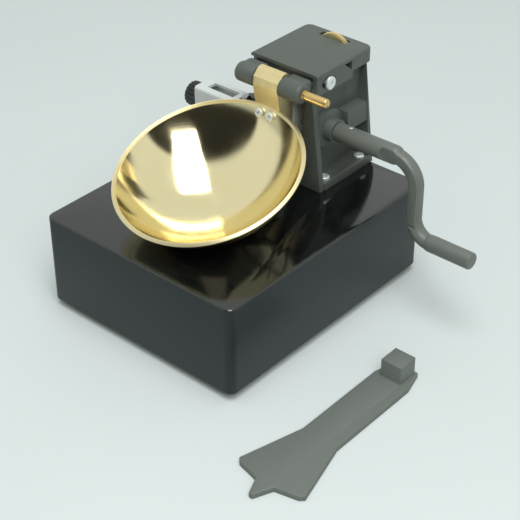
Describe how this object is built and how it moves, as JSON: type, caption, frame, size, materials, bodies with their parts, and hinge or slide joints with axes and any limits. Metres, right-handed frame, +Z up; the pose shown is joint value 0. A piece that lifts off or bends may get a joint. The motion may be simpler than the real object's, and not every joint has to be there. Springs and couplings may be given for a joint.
{
  "type": "liquid limit device",
  "caption": "Hand cranked soil test device: a brass bowl hinged on a moulded tower over a hard rubber block, lifted and dropped by a cam, with a stroke counter and a grooving tool.",
  "frame": {"origin": "on the bench surface, below the middle of the whole layout, which takes in the block, the crank and the loose grooving tool", "axes": "+X towards the crank side, along the cam shaft and pivot pin; +Y from the bowl towards the tower; +Z up"},
  "size_m": [0.193, 0.1948, 0.122],
  "materials": {
    "hard_rubber": "polished hard rubber, near black",
    "foot_rubber": "matt black",
    "steel_screw": "zinc plated",
    "grey_moulding": "fine grained dark grey moulding",
    "brass": "turned, satin",
    "bowl_brass": "polished inside, satin outside",
    "bush_brass": "turned",
    "shaft_steel": "ground",
    "cam_plastic": "self lubricating plastic, off white",
    "crank_moulding": "dark grey moulding",
    "counter_grey": "light grey",
    "counter_black": "black",
    "bracket_steel": "black",
    "digit_white": "white",
    "tool_moulding": "dark grey moulding, flat plate"
  },
  "bodies": {
    "base": {"base_block": "hard_rubber", "rubber_feet": "foot_rubber", "foot_screws": "steel_screw", "tower_housing": "grey_moulding", "tower_screws": "steel_screw", "shaft_bush_right": "bush_brass", "shaft_bush_left": "bush_brass", "counter_case": "counter_grey", "counter_bracket": "bracket_steel", "bracket_screws": "steel_screw"},
    "crank": {"camshaft": "shaft_steel", "cam": "cam_plastic", "cam_grub_screw": "steel_screw", "shaft_clip": "shaft_steel", "crank_handle": "crank_moulding", "crank_pin": "steel_screw"},
    "carriage": {"carriage": "grey_moulding", "clamp_screws": "steel_screw"},
    "adjuster": {"adjusting_screw": "brass", "screw_collar": "brass", "thumbwheel": "brass"},
    "pin": {"pivot_pin": "brass"},
    "cup": {"bowl": "bowl_brass", "bowl_screws": "steel_screw", "hanger": "brass", "cam_follower": "shaft_steel", "follower_screw": "steel_screw", "trip_pin": "shaft_steel"},
    "lever": {"trip_lever": "shaft_steel"},
    "units_wheel": {"digit_wheel_1": "digit_white"},
    "tens_wheel": {"digit_wheel_2": "digit_white"},
    "hundreds_wheel": {"digit_wheel_3": "digit_white"},
    "thousands_wheel": {"digit_wheel_4": "digit_white"},
    "ten_thousands_wheel": {"digit_wheel_5": "digit_white"},
    "knob": {"reset_knob": "counter_black", "counter_spindle": "shaft_steel"},
    "tool": {"grooving_tool": "tool_moulding"}
  },
  "joints": [
    {"name": "crank_turn", "type": "hinge", "parent": "base", "child": "crank", "pos_m": [-0.03, 0.0655, 0.0842], "axis": [-1, 0, 0], "range_deg": [0, 300]},
    {"name": "thumbwheel_turn", "type": "hinge", "parent": "base", "child": "adjuster", "pos_m": [-0.03, 0.0915, 0.111], "axis": [0, 1, 0], "range_deg": [-225, 1575]},
    {"name": "carriage_slide", "type": "slide", "parent": "base", "child": "carriage", "axis": [0, -1, 0], "range_m": [-0.0005, 0.0035]},
    {"name": "pivot_pin_draw", "type": "slide", "parent": "carriage", "child": "pin", "axis": [1, 0, 0], "range_m": [0, 0.03]},
    {"name": "bowl_lift", "type": "hinge", "parent": "carriage", "child": "cup", "pos_m": [-0.03, 0.0408, 0.114], "axis": [-1, 0, 0], "range_deg": [0, 10.25]},
    {"name": "trip_lever_swing", "type": "hinge", "parent": "base", "child": "lever", "pos_m": [-0.069, 0.0488, 0.084], "axis": [1, 0, 0], "range_deg": [0, 20]},
    {"name": "units_wheel_turn", "type": "hinge", "parent": "base", "child": "units_wheel", "pos_m": [-0.069, 0.0488, 0.084], "axis": [1, 0, 0], "range_deg": [0, 36.5]},
    {"name": "tens_wheel_turn", "type": "hinge", "parent": "base", "child": "tens_wheel", "pos_m": [-0.069, 0.0488, 0.084], "axis": [1, 0, 0], "continuous": true},
    {"name": "hundreds_wheel_turn", "type": "hinge", "parent": "base", "child": "hundreds_wheel", "pos_m": [-0.069, 0.0488, 0.084], "axis": [1, 0, 0], "continuous": true},
    {"name": "thousands_wheel_turn", "type": "hinge", "parent": "base", "child": "thousands_wheel", "pos_m": [-0.069, 0.0488, 0.084], "axis": [1, 0, 0], "continuous": true},
    {"name": "ten_thousands_wheel_turn", "type": "hinge", "parent": "base", "child": "ten_thousands_wheel", "pos_m": [-0.069, 0.0488, 0.084], "axis": [1, 0, 0], "continuous": true},
    {"name": "reset_knob_turn", "type": "hinge", "parent": "base", "child": "knob", "pos_m": [-0.069, 0.0488, 0.084], "axis": [1, 0, 0], "continuous": true},
    {"name": "grooving_tool_lift", "type": "slide", "parent": "base", "child": "tool", "axis": [0, 0, 1], "range_m": [0, 0.02]}
  ],
  "couplings": [
    {"joint": "bowl_lift", "follows": "crank_turn", "ratio": 0.034},
    {"joint": "trip_lever_swing", "follows": "crank_turn", "ratio": 0.0666},
    {"joint": "units_wheel_turn", "follows": "crank_turn", "ratio": 0.12},
    {"joint": "thumbwheel_turn", "follows": "carriage_slide", "rad_per_m": 7853.9}
  ]
}
